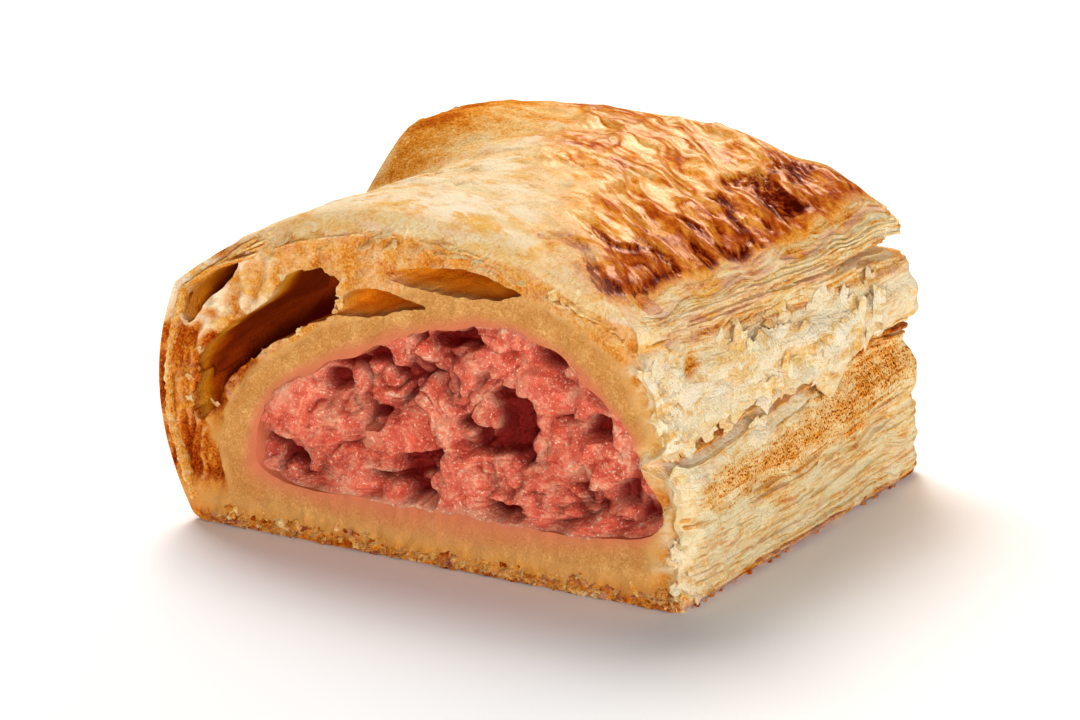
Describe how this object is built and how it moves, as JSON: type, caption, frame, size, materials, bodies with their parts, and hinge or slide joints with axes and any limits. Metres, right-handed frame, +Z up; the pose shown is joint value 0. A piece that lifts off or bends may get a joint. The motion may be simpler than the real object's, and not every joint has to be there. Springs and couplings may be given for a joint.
{
  "type": "cut ham puff pastry",
  "caption": "Cut end of a puff pastry parcel: flaky folded crust with air pockets at the cut, a gaping layered seam, and a coarse ham filling that runs in from the cut face.",
  "frame": {"origin": "middle of the flat base, under the middle of the outer box", "axes": "+Z up, -Y out of the cut face, -X the folded side, +X and +Y the sealed layered sides"},
  "size_m": [0.0712, 0.0594, 0.0414],
  "materials": {
    "pastry": "baked, with an egg-washed sheen on the lid",
    "ham": "moist"
  },
  "bodies": {
    "root": {"pastry_crust": "pastry", "ham_filling": "ham"}
  },
  "joints": []
}
